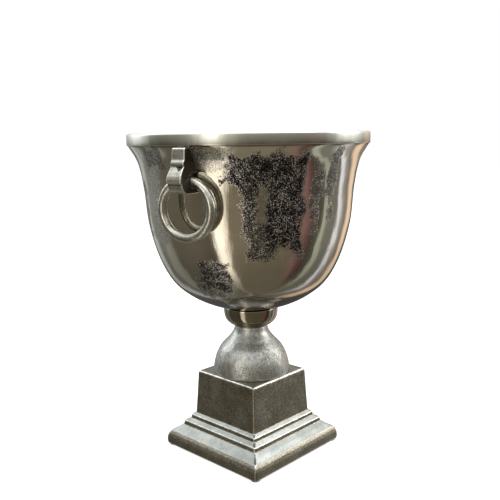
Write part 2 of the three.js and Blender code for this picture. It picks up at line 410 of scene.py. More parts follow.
# Where the polish has gone, by azimuth and height, half width and half height, and how strong:
# dark etched patches left by the casting, and paler frosted ones.
ETCHED = [
    (231, 319, 33, 13, 1.0), (241, 285, 18, 45, 1.0), (223, 284, 8, 24, 0.95), (229, 252, 13, 18, 0.9),
    (232, 282, 12, 22, 0.5), (202, 213, 15, 15, 0.95), (196, 204, 11, 12, 0.7), (205, 334, 17, 5, 0.6),
    (258, 293, 5, 24, 0.8), (174, 330, 14, 9, 0.7), (268, 300, 5, 34, 0.75), (148, 280, 13, 28, 0.85),
    (139, 268, 17, 10, 0.65), (97, 320, 26, 9, 0.7), (108, 304, 8, 12, 0.5), (62, 270, 12, 26, 0.9),
    (54, 254, 18, 8, 0.6), (72, 292, 9, 14, 0.7), (324, 292, 11, 36, 0.95), (337, 305, 20, 12, 0.8),
    (333, 262, 8, 14, 0.6), (316, 254, 12, 12, 0.6), (14, 242, 9, 17, 0.7), (6, 234, 14, 6, 0.55),
    (300, 330, 20, 8, 0.5),
]
FROSTED = [
    (167, 290, 16, 44, 0.9), (207, 330, 20, 11, 0.6), (209, 197, 10, 8, 0.85), (108, 250, 30, 24, 0.6),
    (350, 300, 24, 26, 0.6), (42, 318, 22, 18, 0.6),
]


def patches(shader, places, edge):
    """The strongest of the patches in a list."""
    strongest = None
    for azimuth, z, half_width, half_height, strength in places:
        one = shader.math("MULTIPLY", patch(shader, azimuth, z, half_width, half_height, edge), strength)
        strongest = one if strongest is None else shader.math("MAXIMUM", strongest, one)
    return strongest


def bowl_areas(s):
    """Masks for the bowl: its outside, the rim's band, and the etched and frosted patches of the wall."""
    outward = s.vector("DOT_PRODUCT", s.facing(), s.vector("MULTIPLY", s.place, (1, 1, 0)))
    outside = s.math("MULTIPLY", outward, 0.1, clamp=True)
    band = s.math("MULTIPLY_ADD", s.height(), 0.9, -0.9 * BAND_FOOT_Z - 0.5, clamp=True)
    wall = s.math("MULTIPLY", outside, s.math("SUBTRACT", 1.0, band))
    edge = s.math("MULTIPLY_ADD", s.noise(15, 3, 0.5), 1.2, -0.6)
    edge = s.math("ADD", edge, s.math("MULTIPLY_ADD", s.noise(1.7, 3, 0.6, shift=18), 0.7, -0.35))
    etched = s.math("MULTIPLY", patches(s, ETCHED, edge), wall)
    frosted = s.math("MULTIPLY", patches(s, FROSTED, edge), wall)
    return outside, band, etched, frosted


def etched_colour(s, grain):
    """Near black, with pale grains gathered in veins."""
    veined = s.math("ADD", grain, s.math("MULTIPLY_ADD", s.noise(9, 4, 0.6, 0.8, shift=15), 0.36, -0.18))
    return s.ramp(veined, (0.47, (0.014, 0.014, 0.018)), (0.545, (0.05, 0.049, 0.05)),
                  (0.59, (0.27, 0.265, 0.26)), (0.63, (1.0, 0.99, 0.97)))


def band_colour(s, smudge):
    """The rim's band, scuffed grey, with a painted highlight brightening it towards its lip."""
    scuffed = s.ramp(smudge, (0.35, (0.22, 0.225, 0.195)), (0.65, (0.37, 0.375, 0.335)))
    # painted highlight: the band grows paler towards its lip
    painted_lip_highlight = s.math("MULTIPLY_ADD", s.height(), 0.1, -0.1 * BAND_FOOT_Z - 0.2, clamp=True)
    return s.mix(painted_lip_highlight, scuffed, (0.86, 0.88, 0.83))


def polished_nickel(name="polished_nickel", dark=(0.60, 0.565, 0.485), light=(0.73, 0.70, 0.63)):
    """Polished nickel on cast aluminium: a warm, slightly wavy mirror with etched, speckled patches, painted
    shade in hollows and towards the bottom, and a band with a painted highlight near its lip.
    """
    s = Surface(name)
    outside, band, etched, frosted = bowl_areas(s)
    grain = s.noise(1.0, 2, 0.6, 0.2)
    smudge = s.noise(22, 4, 0.6, 0.3, (1, 1, 0.55), 5)
    colour = s.ramp(s.noise(45, 3), (0.3, dark), (0.7, light))
    strewn = s.ramp(s.noise(1.3, 2, 0.5, shift=9), (0.66, 0.0), (0.70, 1.0))
    strewn = s.math("MULTIPLY", strewn, s.ramp(smudge, (0.46, 0.05), (0.66, 0.8)))
    colour = s.mix(strewn, colour, (0.95, 0.94, 0.92))
    # painted shade: the wall darkens towards the bottom, dimming what it reflects there
    low = s.ramp(s.math("MULTIPLY", s.height(), 1 / HEIGHT), (0.58, 0.85), (0.70, 0.0))
    colour = s.mix(low, colour, tuple(0.58 * part for part in dark))
    frost = s.ramp(grain, (0.38, (0.30, 0.295, 0.27)), (0.55, (0.52, 0.52, 0.49)),
                   (0.60, (0.95, 0.95, 0.92)))
    colour = s.mix(frosted, colour, frost)
    colour = s.mix(etched, colour, etched_colour(s, grain))
    # painted shade: darker in hollows, such as the crease under the band
    colour = s.mix(s.math("MULTIPLY", s.wear_and_shade_mask(), -0.85, clamp=True), colour, (0.06, 0.055, 0.045))
    colour = s.mix(band, colour, band_colour(s, smudge))
    rough = s.blend(outside, 0.24, s.ramp(smudge, (0.3, 0.05), (0.72, 0.15)))
    rough = s.blend(band, rough, 0.32)
    rough = s.blend(frosted, rough, 0.34)
    rough = s.blend(etched, rough, s.ramp(grain, (0.4, 0.55), (0.66, 0.35)))
    waves = s.noise(40, 2, 0.5, 0.2, (1, 1, 0.4))
    streak = s.noise(4.5, 3, 0.6, stretch=(1, 1, 0.07), shift=6)
    hairline = s.noise(0.7, 2, 0.6, stretch=(0.12, 0.12, 1.6), shift=2)
    normal = s.bump((waves, 1.0), (streak, 0.07), (s.noise(9, 2, shift=8), 0.05), (hairline, 0.004),
                    (s.math("MULTIPLY", grain, etched), 0.16))
    return s.metal(colour, rough, normal)


def satin_nickel():
    """Satin nickel on the handles: soft reflections, cast orange peel, stains, bright scuffed edges, and
    painted shade in hollows and on the brackets' flat sides.
    """
    s = Surface("satin_nickel")
    mottle = s.noise(9, 5, 0.7, 0.6, shift=4)
    grain = s.noise(1.4, 3, 0.65)
    stained = s.ramp(mottle, (0.48, 0.0), (0.62, 0.7))
    stained = s.math("MULTIPLY", stained, s.ramp(grain, (0.4, 1.0), (0.6, 0.2)))
    tint = s.ramp(s.noise(30, 3), (0.3, (0.40, 0.40, 0.355)), (0.7, (0.53, 0.53, 0.48)))
    colour = s.mix(stained, tint, (0.14, 0.13, 0.115))
    wear_and_shade_mask = s.wear_and_shade_mask()
    colour = s.mix(s.math("MULTIPLY", wear_and_shade_mask, 0.7, clamp=True), colour, (0.92, 0.92, 0.9))
    # painted shade: darker in hollows and on the brackets' flat sides
    colour = s.mix(s.math("MULTIPLY", wear_and_shade_mask, -0.95, clamp=True), colour, (0.05, 0.045, 0.036))
    rough = s.blend(stained, s.ramp(s.noise(6, 3, shift=1), (0.3, 0.24), (0.7, 0.33)), 0.5)
    normal = s.bump((s.noise(12, 2), 0.35), (grain, 0.035))
    return s.metal(colour, rough, normal)


def bell_nickel():
    """Brushed nickel of the stem: pale and even, with dark pitted speckle in patches and faint streaks, and
    painted shade in its hollows.
    """
    s = Surface("bell_nickel")
    cloud = s.noise(19, 4, 0.6, 0.5, shift=12)
    grain = s.noise(1.1, 3, 0.7)
    pitted = s.ramp(cloud, (0.46, 0.12), (0.58, 1.0))
    pitted = s.math("MULTIPLY", pitted, s.ramp(grain, (0.44, 1.0), (0.52, 0.0)))
    streak = s.noise(2.2, 3, 0.6, stretch=(1, 1, 0.09), shift=7)
    colour = s.ramp(streak, (0.36, (0.33, 0.34, 0.325)), (0.6, (0.53, 0.54, 0.52)))
    colour = s.mix(s.math("MULTIPLY", pitted, 0.8), colour, (0.12, 0.115, 0.105))
    colour = s.mix(s.ramp(grain, (0.60, 0.0), (0.68, 0.7)), colour, (0.96, 0.96, 0.94))
    wear_and_shade_mask = s.wear_and_shade_mask()
    colour = s.mix(s.math("MULTIPLY", wear_and_shade_mask, 0.7, clamp=True), colour, (0.95, 0.95, 0.93))
    # painted shade: darker in hollows
    colour = s.mix(s.math("MULTIPLY", wear_and_shade_mask, -0.9, clamp=True), colour, (0.10, 0.095, 0.08))
    rough = s.blend(pitted, s.ramp(cloud, (0.3, 0.36), (0.7, 0.46)), 0.6)
    normal = s.bump((s.noise(13, 2), 0.35), (streak, 0.02), (grain, 0.05))
    return s.metal(colour, rough, normal)


def pedestal_nickel():
    """Antiqued nickel: dark and pebbled on upright faces, painted pale where it faces up as if lit from
    above, with painted shade on the block's flat top and in hollows, and bright on every arris.
    """
    s = Surface("pedestal_nickel")
    pebble = s.noise(1.3, 4, 0.7)
    cloud = s.noise(17, 5, 0.65, 0.3, shift=6)
    # painted light: faces that face up are made paler, as if lit from above
    painted_light_up = s.ramp(s.node("SeparateXYZ", Vector=s.facing()).outputs[2], (0.58, 0.0), (0.70, 1.0))
    # painted shade: the block's flat top, under the bell, keeps little of that painted light
    shaded_block_top = s.math("SUBTRACT", s.height(), BLOCK_TOP_Z - 1.2)
    painted_light_up = s.math("MULTIPLY", painted_light_up, s.ramp(shaded_block_top, (0.0, 1.0), (1.0, 0.25)))
    tint = s.ramp(cloud, (0.32, (0.235, 0.21, 0.155)), (0.68, (0.36, 0.34, 0.285)))
    colour = s.mix(s.ramp(pebble, (0.40, 0.7), (0.52, 0.0)), tint, (0.10, 0.092, 0.07))
    colour = s.mix(s.ramp(pebble, (0.57, 0.0), (0.66, 0.75)), colour, (0.66, 0.65, 0.60))
    painted_light_top = s.ramp(cloud, (0.3, (0.27, 0.285, 0.275)), (0.62, (0.38, 0.395, 0.38)))
    mottled = s.math("ADD", pebble, s.math("MULTIPLY_ADD", s.noise(8, 4, 0.7, 0.5, shift=21), 0.8, -0.4))
    painted_light_top = s.mix(s.ramp(mottled, (0.36, 0.6), (0.45, 0.0)), painted_light_top, (0.20, 0.195, 0.175))
    colour = s.mix(painted_light_up, colour, painted_light_top)
    wear_and_shade = s.wear_and_shade_mask()
    wear_and_shade_mask = s.math("ADD", wear_and_shade, s.math("MULTIPLY_ADD", s.noise(4, 4, 0.7), 1.1, -0.62))
    colour = s.mix(s.ramp(wear_and_shade_mask, (0.3, 0.0), (0.8, 0.9)), colour, (0.90, 0.905, 0.87))
    # painted shade: darker in hollows
    colour = s.mix(s.math("MULTIPLY", wear_and_shade, -0.85, clamp=True), colour, (0.075, 0.068, 0.052))
    rough = s.blend(painted_light_up, s.ramp(cloud, (0.3, 0.36), (0.7, 0.46)), 0.3)
    rough = s.blend(s.ramp(wear_and_shade_mask, (0.3, 0.0), (0.8, 1.0)), rough, 0.26)
    normal = s.bump((s.noise(9, 3), 0.3), (pebble, 0.09))
    return s.metal(colour, rough, normal)


def zinc_steel():
    """Zinc plated steel, with the faint blue and yellow clouds of the plating and a fine grain, and painted
    shade in hollows such as the thread's grooves.
    """
    s = Surface("zinc_steel")
    cloud = s.noise(5, 4, 0.6, 0.5)
    colour = s.ramp(cloud, (0.3, (0.50, 0.52, 0.56)), (0.5, (0.62, 0.62, 0.60)), (0.7, (0.66, 0.62, 0.52)))
    # painted shade: darker in hollows, such as the thread's grooves
    colour = s.mix(s.math("MULTIPLY", s.wear_and_shade_mask(), -0.8, clamp=True), colour, (0.12, 0.11, 0.1))
    normal = s.bump((s.noise(0.5, 3, 0.6), 0.012))
    return s.metal(colour, s.ramp(cloud, (0.3, 0.26), (0.7, 0.4)), normal)


def dull(name, dark, light, fleck, size, depth, sheen=0.0):
    """A matt fibrous material between two colours, with flecks."""
    s = Surface(name)
    fibre = s.noise(size, 5, 0.75, 1.2)
    colour = s.ramp(s.noise(6 * size, 3), (0.3, dark), (0.7, light))
    colour = s.mix(s.ramp(fibre, (0.6, 0.0), (0.72, 0.8)), colour, fleck)
    rough = s.ramp(fibre, (0.3, 0.85), (0.7, 0.97))
    made = s.node("BsdfPrincipled", Base_Color=colour, Sheen_Weight=sheen, Roughness=rough,
                  Normal=s.bump((fibre, depth)))
    return s.finished(made.outputs[0])


POLISHED = polished_nickel()
SATIN = satin_nickel()
TARNISHED = polished_nickel("tarnished_nickel", (0.44, 0.40, 0.31), (0.58, 0.54, 0.43))
BELL_SATIN = bell_nickel()
ANTIQUED = pedestal_nickel()
ZINC = zinc_steel()
FIBRE = dull("seal_fibre", (0.10, 0.03, 0.02), (0.16, 0.055, 0.04), (0.25, 0.12, 0.09), 0.35, 0.05)
FELT = dull("felt", (0.018, 0.024, 0.022), (0.04, 0.05, 0.047), (0.10, 0.11, 0.105), 0.3, 0.12, 0.3)


# ---- bowl ----
BOWL_OUTSIDE = smooth([
    (BOWL_SEAT_RADIUS, BOWL_SEAT_Z),
    (50.5, 170.7),
    (68.5, 180.5),
    (84.3, 194.3),
    (97.8, 217.8),
    (109.3, 257),
    (114, 299.2),
    (119.6, 325.7),
    (BAND_FOOT_RADIUS, BAND_FOOT_Z),
])


def wall_radius(z):
    return np.interp(z, BOWL_OUTSIDE[:, 1], BOWL_OUTSIDE[:, 0])


def bowl():
    """Cast bowl: boss, flared wall, crease, upright band with a round lip, inside and floor."""
    rim = RIM_RADIUS - 0.1         # leaves room for the casting's waves
    boss = filleted([
        (0, BOSS_BORE_TOP),
        (ROD_RADIUS + GAP, BOSS_BORE_TOP),
        (ROD_RADIUS + GAP, BOSS_FOOT_Z),
        (BOSS_RADIUS, BOSS_FOOT_Z),
        (BOSS_RADIUS, BOWL_SEAT_Z),
        tuple(BOWL_OUTSIDE[0]),
    ], 0.5, steps=3)
    crease = filleted([
        tuple(BOWL_OUTSIDE[-1]),
        (BAND_FOOT_RADIUS + 0.1, BAND_FOOT_Z + 0.35),
        (rim - 0.1, BAND_FOOT_Z + 0.5),
        (rim, BAND_FOOT_Z + 1.6),
    ], 0.25, steps=3)
    lip = arc((rim - WALL / 2, HEIGHT - WALL / 2), WALL / 2, 0, 180, 14)
    inside = offset(BOWL_OUTSIDE, -WALL)
    inside = inside[inside[:, 1] > BOWL_FLOOR_Z + 0.6][::-1]
    down = resampled([(rim - WALL, HEIGHT - WALL), (rim - WALL, BAND_FOOT_Z + 1.5)], 2)
    floor = [(BOWL_FLOOR_RADIUS, BOWL_FLOOR_Z), (0, BOWL_FLOOR_Z)]
    up = resampled([crease[-1], lip[0]], 2)
    outside = [boss[:-1], BOWL_OUTSIDE[:-1], crease[:-1], up[:-1]]
    profile = np.vstack([*outside, lip, down[1:], inside[1:], floor])
    turned_piece("bowl_fine", profile, BOWL_COLUMNS, POLISHED, (0.16, 34))


def collar():
    """Polished cup between the bell and the bowl."""
    top = BOWL_SEAT_Z - GAP
    socket_floor = BOSS_FOOT_Z - GAP
    cup = smooth([(19.4, COLLAR_FOOT_Z + 0.8), (23.4, 144), (27.6, 148), (29.6, 153), (30.3, 158.5)], 0.7)
    lip = filleted([tuple(cup[-1]), (30.2, top - 1.2), (29.9, top - 0.3), (29.2, top), (27.5, top)], 0.5)
    profile = np.vstack([
        filleted([(ROD_HOLE_RADIUS, COLLAR_FOOT_Z), (18.4, COLLAR_FOOT_Z), tuple(cup[0])], 0.4)[:-1],
        cup[:-1], lip,
        filleted([(BOSS_RADIUS + 3, top), (BOSS_RADIUS + GAP, top), (BOSS_RADIUS + GAP, socket_floor),
                  (ROD_HOLE_RADIUS, socket_floor), (ROD_HOLE_RADIUS, COLLAR_FOOT_Z + 2)], 0.4),
    ])
    waves = (0.06, 12, 3.0)
    turned_piece("stem_collar_fine", profile, 128, TARNISHED, waves, closed=True)


def bell():
    """Satin bell stem, hollow underneath."""
    outside = smooth([
        (42.4, BELL_FOOT_Z + 0.4), (43, 90.5), (42.2, 97.5), (39.6, 107), (34.4, 117),
        (25.6, 126.6), (20, 134.5), (18.2, BELL_TOP_Z),
    ], 0.9)
    inside = offset(outside, -BELL_WALL)
    ceiling = BELL_TOP_Z - BELL_TOP_WALL
    inside = inside[(inside[:, 1] > BELL_FOOT_Z + 1) & (inside[:, 1] < ceiling)][::-1]
    foot = filleted([(37.4, BELL_FOOT_Z), (42.1, BELL_FOOT_Z), tuple(outside[0])], 0.4)
    profile = np.vstack([
        foot[:-1], outside,
        [(ROD_HOLE_RADIUS, BELL_TOP_Z), (ROD_HOLE_RADIUS, ceiling)],
        inside,
    ])
    turned_piece("stem_bell_fine", profile, 144, BELL_SATIN, (0.14, 15, 7.0), closed=True)


# ---- pedestal ----
def square_loop(half, corner, per_side=28, per_corner=8):
    """Points of a rounded square, and how near each is to the middle of a corner: 1 there, 0 on a side."""
    points, near = [], []
    straight = np.linspace(-1, 1, per_side + 1)[1:-1]
    for quarter in range(4):
        turn = quarter * math.pi / 2
        c, s = math.cos(turn), math.sin(turn)
        side = [(half, t * (half - corner)) for t in straight]
        bend = arc((half - corner, half - corner), corner, 0, 90, per_corner)
        along = np.concatenate([(half - corner) * (1 - np.abs(straight)) + corner * math.pi / 4,
                                corner * np.abs(np.linspace(-1, 1, per_corner + 1)) * math.pi / 4])
        for (x, y), distance in zip([*side, *bend], along):
            points.append((x * c - y * s, x * s + y * c))
            near.append(math.exp(-(distance / 1.2) ** 2))
    return np.array(points), np.array(near)


def pedestal():
    """Hollow square pedestal: plinth, two mouldings and a tapered block with a flat top."""
    outside = filleted([
        (PLINTH_HALF - 2.2, PEDESTAL_FOOT_Z),
        (PLINTH_HALF - 0.6, PEDESTAL_FOOT_Z),
        (PLINTH_HALF - 0.1, 4),
        (PLINTH_HALF, 6.5),
        (PLINTH_HALF - 0.3, 10),
        (PLINTH_HALF - 1.7, 13.8),
        (66.3, 16.9),
        (61, 20.2),
        (56.4, 24),
        (55.6, 28.2),
        (50.3, 31.4),
        (49.8, 35.2),
        (45.9, 37.8),
        (44.6, 60),
        (43.4, BLOCK_TOP_Z - 3.2),
        (42.9, BLOCK_TOP_Z - 1.2),
        (41.9, BLOCK_TOP_Z - 0.3),
        (40.2, BLOCK_TOP_Z),
        (38.5, BLOCK_TOP_Z),
    ], 0.9)
    block_ceiling = BLOCK_TOP_Z - PEDESTAL_TOP_WALL
    inside = filleted([
        (ROD_HOLE_RADIUS + 8, block_ceiling),
        (36.5, block_ceiling),
        (39.5, 36),
        (47, 29),
        (50, 20),
        (59, 15),
        (59.6, PEDESTAL_FOOT_Z),
        (62, PEDESTAL_FOOT_Z),
    ], 2)
    hole = [(ROD_HOLE_RADIUS, BLOCK_TOP_Z), (ROD_HOLE_RADIUS, block_ceiling)]
    profile = np.vstack([inside, outside, hole])
    profile = resampled(profile, 1.6, closed=True)
    wear_and_shade = edge_wear_and_hollow_shade(profile, closed=True)
    first_outside = np.argmax(profile[:, 0] >= PLINTH_HALF - 3)
    rows, marks = [], []
    for i, (half, z) in enumerate(profile):
        corner = 2.2 if half > 50 else 1.7
        if half < 30:              # from the rounded square to the round hole
            corner = half * min(1, corner / 30 + (30 - half) / 24.5)
        loop, near = square_loop(half, corner)
        rows.append(np.column_stack([loop, np.full(len(loop), z)]))
        outer = i >= first_outside and half > 38 and z < BLOCK_TOP_Z - 0.05
        arris = 0.35 if z < 15 else 0.45
        marks.append(np.maximum(wear_and_shade[i], near * arris * outer))
    grid = uneven(np.array(rows), 0.12, 14, 11.0)
    faces = quads(*grid.shape[:2], close_rows=True)
    wear_and_shade = np.array(marks)
    piece("pedestal_fine", grid.reshape(-1, 3), faces, "bucket", ANTIQUED, wear_and_shade)


def felt_feet():
    """Four felt dots, a little soft at the edge."""
    for node in [f"felt_foot_{end}_{side}" for end in ("front", "back") for side in ("left", "right")]:
        low, high = frame_box(node)
        radius, top = (high[0] - low[0]) / 2, high[2]
        centre = ((low[0] + high[0]) / 2, (low[1] + high[1]) / 2, 0)
        edge = filleted([(radius - 1, 0), (radius, 0), (radius, top), (radius - 1, top)], 0.4)
        profile = np.vstack([[(0, 0)], edge, [(0, top)]])
        grid = uneven(turned(resampled(profile, 0.5), 48), 0.08, 0.8, low[0])
        points = grid.reshape(-1, 3) + centre
        piece(node + "_fine", points, quads(*grid.shape[:2]), "bucket", FELT)


# ---- tie rod and its fastenings ----
def thread_grid(radius, pitch, low, high, columns=40, rows_per_turn=8):
    """Rows of a right-hand thread between two heights, closed to points on the axis at both ends."""
    depth = 0.6 * pitch
    heights = np.linspace(low, high, max(2, math.ceil((high - low) / pitch * rows_per_turn)) + 1)
    angles = np.arange(columns) * 2 * math.pi / columns
    phase = (heights[:, None] / pitch - angles[None] / (2 * math.pi)) % 1
    groove = np.clip(np.abs(phase - 0.5) * 2.4 - 0.2, 0, 1)
    chamfer = np.minimum(heights - low, high - heights)[:, None]
    radii = np.minimum(radius - depth * groove, radius - 1 + chamfer)
    up = np.repeat(heights[:, None], columns, 1)
    body = np.stack([radii * np.cos(angles), radii * np.sin(angles), up], -1)
    tips = [np.tile((0, 0, z), (1, columns, 1)) for z in (low, high)]
    unmarked = np.zeros((1, columns))
    # the second grid marks the grooves for painted shade
    return np.vstack([tips[0], body, tips[1]]), np.vstack([unmarked, -groove, unmarked])


def tie_rod():
    low, high = frame_box("tie_rod")
    grid, wear_and_shade = thread_grid(ROD_RADIUS, THREAD_PITCH, low[2], high[2])
    faces = quads(*grid.shape[:2])
    piece("tie_rod_fine", grid.reshape(-1, 3), faces, "bucket", ZINC, wear_and_shade, sharp=50)


def hexagon(angles, half_width):
    """Radius of a hexagon at each angle, with the middles of its sides on multiples of 60 degrees."""
    return half_width / np.cos((angles + math.pi / 6) % (math.pi / 3) - math.pi / 6)


def stacked(rows, angles):
    """A grid of points from (radius at each angle, z) rows."""
    return np.array([np.column_stack([r * np.cos(angles), r * np.sin(angles), np.full(len(angles), z)])
                     for r, z in rows])


def hex_nut():
    """Nut with chamfered corners and a chamfered bore."""
    low, high = frame_box("hex_nut")
    half_width, bore = (high[1] - low[1]) / 2, ROD_RADIUS + GAP
    angles = np.arange(144) * math.pi / 72
    corner = half_width / math.cos(math.pi / 6)
    rows = []
    for z in np.concatenate([np.linspace(low[2], low[2] + 1.6, 7), np.linspace(high[2] - 1.6, high[2], 7)]):
        cone = corner - 0.95 + 1.05 * min(z - low[2], high[2] - z) ** 0.8
        rows.append((np.minimum(hexagon(angles + math.pi / 6, half_width), cone), z))
    hole = [(bore + 0.7, high[2]), (bore, high[2] - 0.7), (bore, low[2] + 0.7), (bore + 0.7, low[2])]
    rows += [(np.full(len(angles), radius), z) for radius, z in hole]
    grid = stacked(rows, angles)
    faces = quads(*grid.shape[:2], close_rows=True)
    piece("hex_nut_fine", grid.reshape(-1, 3), faces, "bucket", ZINC, sharp=25)


def washer_section(outer, low, high, edge, steps):
    corners = [(ROD_HOLE_RADIUS, low), (outer, low), (outer, high), (ROD_HOLE_RADIUS, high)]
    return filleted(corners, edge, closed=True, steps=steps)


def flat_washer():
    low, high = frame_box("flat_washer")
    section = washer_section(high[0], low[2], high[2], 0.35, 5)
    turned_piece("flat_washer_fine", section, 96, ZINC, closed=True)


def spring_washer():
    """Split washer whose two ends stand a little apart in height."""
    low, high = frame_box("spring_washer")
    split, rise = math.radians(6), 0.15
    section = washer_section(-low[0], low[2] + rise, high[2] - rise, 0.25, 3)
    rows = []
    for t in np.linspace(0, 1, 90):
        angle = split + t * 2 * (math.pi - split)
        r, z = section[:, 0], section[:, 1] + rise * (1 - 2 * t)
        rows.append(np.column_stack([r * math.cos(angle), r * math.sin(angle), z]))
    grid = np.array(rows)
    faces = quads(*grid.shape[:2], capped=True)
    piece("spring_washer_fine", grid.reshape(-1, 3), faces, "bucket", ZINC)


# ---- handles ----
def bracket_outline():
    """Side view of the bracket, [distance from the bowl's axis, z], anticlockwise."""
    pivot = (PIVOT_RADIUS, PIVOT_Z)
    back = PIVOT_RADIUS - BRACKET_BACK
    front = filleted([
        (back, 340.3),
        (133.6, 340.3),
        (134.4, 339.3),
        (135, 332),
        (135.4, 329.6),
        (136.8, 328),
        (137.3, 325.8),
        (136.9, 323.6),
        (138.1, 321.8),
        (140.8, 318.7),
        (143, 315),
        (143.8, 311.5),
        (143.7, 308.8),
        (142.9, 307.7),
        (142, 307.2),
    ], 1.0)
    hook = arc(HOOK_CENTRE, HOOK_RADIUS, -9, -90, 20)
    slot = arc(pivot, HOOK_HOLE_RADIUS, -90, 90, 24)
    tongue_back = [(back, HOOK_CENTRE[1] - HOOK_RADIUS), (back, PIVOT_Z - HOOK_HOLE_RADIUS)]
    outline = np.vstack([front, hook, tongue_back, slot, [(back, PIVOT_Z + HOOK_HOLE_RADIUS)]])
    return resampled(outline[::-1], 0.6, closed=True)


def bracket_recess(points):
    """How deep the front is sunk: a small three-cornered pit under the ridge, to one side of the middle."""
    x, y, z = points[..., 0], points[..., 1], points[..., 2]
    top, apex, middle = 323.4, 318.4, 3.2
    half = 4.6 * (z - apex) / (top - apex)
    inside = np.minimum((half - np.abs(y - middle)) / 1.1, (top - z) / 0.7)
    return np.where(x > PIVOT_RADIUS + 8, 1.1 * np.clip(inside, 0, 1), 0)


def shrunk(outline, distance):
    """The closed outline moved inwards; points that would cross another side stay at the last clear one."""
    moved = offset(np.vstack([outline[-3:], outline, outline[:3]]), -distance)[3:-3]
    nearest = np.linalg.norm(moved[:, None] - outline[None], axis=2).min(axis=1)
    last = np.maximum.accumulate(np.where(nearest >= 0.96 * distance, np.arange(len(moved)), -1))
    return moved[np.where(last < 0, last[-1], last)]


def bracket(side, turn):
    """Bracket cast with a ridge, a pit and a tongue over the hook; its back lies along the bowl's wall."""
    outline = bracket_outline()
    edge, half_width = 1.0, BRACKET_WIDTH / 2
    bend = np.radians(np.linspace(0, 90, 6))
    across = [(-half_width + edge * (1 - math.cos(t)), edge * (1 - math.sin(t))) for t in bend]
    middle = [(y, 0.0) for y in np.linspace(-half_width + edge, half_width - edge, 24)[1:-1]]
    across += middle + [(-y, inset) for y, inset in across[::-1]]
    wear_and_shade = edge_wear_and_hollow_shade(outline, 1.2, closed=True)
    rows, marks = [], []
    for y, inset in across:
        shape = shrunk(outline, inset)
        x, z = shape[:, 0], shape[:, 1]
        up = np.clip((z - TONGUE_Z) / (BRACKET_FOOT_Z - TONGUE_Z), 0, 1)
        spread = 1 - up**2 * (3 - 2 * up)
        wide = y * (1 + spread * (TONGUE_WIDTH / BRACKET_WIDTH - 1))
        points = np.column_stack([x, wide, z])
        sunk = bracket_recess(points)
        points[:, 0] -= sunk
        wall = np.sqrt((wall_radius(z) + GAP) ** 2 - wide**2)
        points[:, 0] = np.maximum(points[:, 0], wall)
        rows.append(points)
        if inset > 0.9:
            # painted shade: the bracket's flat sides are marked dark
            marks.append(np.full(len(wear_and_shade), -0.85))
        elif inset > 0.15:
            marks.append(np.maximum(wear_and_shade, 0.9))
        else:
            # painted shadow: the front is marked darker in the pit under the ridge
            marks.append(wear_and_shade - 1.5 * np.clip(2 * sunk, 0, 1))
    grid = np.array(rows)
    points = placed(grid.reshape(-1, 3), turn)
    faces = quads(*grid.shape[:2], capped=True)
    wear_and_shade = np.array(marks)
    piece(f"handle_bracket_{side}_fine", points, faces, "bucket", SATIN, wear_and_shade)


def ring(side, turn):
    """Handle ring hanging in the hook, cast with a barely uneven tube."""
    radius = (PIVOT_Z - frame_box(f"handle_ring_{side}")[0][2] - RING_TUBE) / 2
    around = np.arange(160) * math.pi / 80
    tube = np.arange(32) * math.pi / 16
    rows = []
    for angle in around:
        wave = ripple((60 * math.cos(angle), 60 * math.sin(angle), 0), 22, turn)
        thick = RING_TUBE * (1 - 0.012 * (1 + wave))
        out = radius + thick * np.cos(tube)
        rows.append(np.column_stack([thick * np.sin(tube), out * math.sin(angle), out * math.cos(angle)]))
    grid = np.array(rows)
    points = placed(grid.reshape(-1, 3), turn, (PIVOT_RADIUS, 0, PIVOT_Z - radius))
    faces = quads(*grid.shape[:2], close_rows=True)
    piece(f"handle_ring_{side}_fine", points, faces, f"ring_{side}", SATIN)


def on_screw_axis(points, turn):
    """Points about Z, with z = 0 on the outside of the wall, turned to the axis square to the wall."""
    slope = math.atan2(wall_radius(SCREW_Z + 3) - wall_radius(SCREW_Z - 3), 6)
    lean = Matrix.Rotation(math.pi / 2 + slope, 3, "Y")
    points = np.asarray(points, float) @ np.array(lean).T
    return placed(points, turn, (wall_radius(SCREW_Z), 0, SCREW_Z))


def bracket_screw(side, turn):
    """Button head screw with a hexagon socket, in through the wall from inside the bowl."""
    under_head = -WALL - SEAL_THICKNESS - 2 * GAP
    head_top = under_head - SCREW_HEAD_HEIGHT
    angles = np.arange(96) * math.pi / 48
    socket = hexagon(angles, SCREW_SOCKET_HALF)
    rows = [
        (np.zeros(len(angles)), head_top + 1.7),
        (socket * 0.96, head_top + 1.35),
        (socket, head_top + 0.25),
        (socket * 1.12, head_top + 0.02),
    ]
    button = smooth([(2.4, head_top), (3.4, head_top + 0.3), (4.3, head_top + 1),
                     (SCREW_HEAD_RADIUS, head_top + 2.1)], 0.35)
    shank = filleted([tuple(button[-1]), (SCREW_HEAD_RADIUS, under_head), (SCREW_RADIUS, under_head),
                      (SCREW_RADIUS, SCREW_LENGTH - 0.7), (SCREW_RADIUS - 0.7, SCREW_LENGTH),
                      (0, SCREW_LENGTH)], 0.2, steps=3)
    rows += [(np.full(len(angles), r), z) for r, z in np.vstack([button, shank[1:]])]
    grid = stacked(rows, angles)
    points = on_screw_axis(grid.reshape(-1, 3), turn)
    faces = quads(*grid.shape[:2])
    piece(f"bracket_screw_{side}_fine", points, faces, "bucket", ZINC, sharp=30)


def bracket_seal(side, turn):
    """Fibre washer under the screw's head, squeezed a little round at its edge."""
    top = -WALL - GAP
    foot = top - SEAL_THICKNESS
    outline = [(SEAL_HOLE_RADIUS, foot), (SEAL_RADIUS, foot), (SEAL_RADIUS, top), (SEAL_HOLE_RADIUS, top)]
    grid = turned(filleted(outline, 0.42, closed=True), 72)
    points = on_screw_axis(grid.reshape(-1, 3), turn)
    faces = quads(*grid.shape[:2], close_rows=True)
    piece(f"bracket_seal_{side}_fine", points, faces, "bucket", FIBRE)


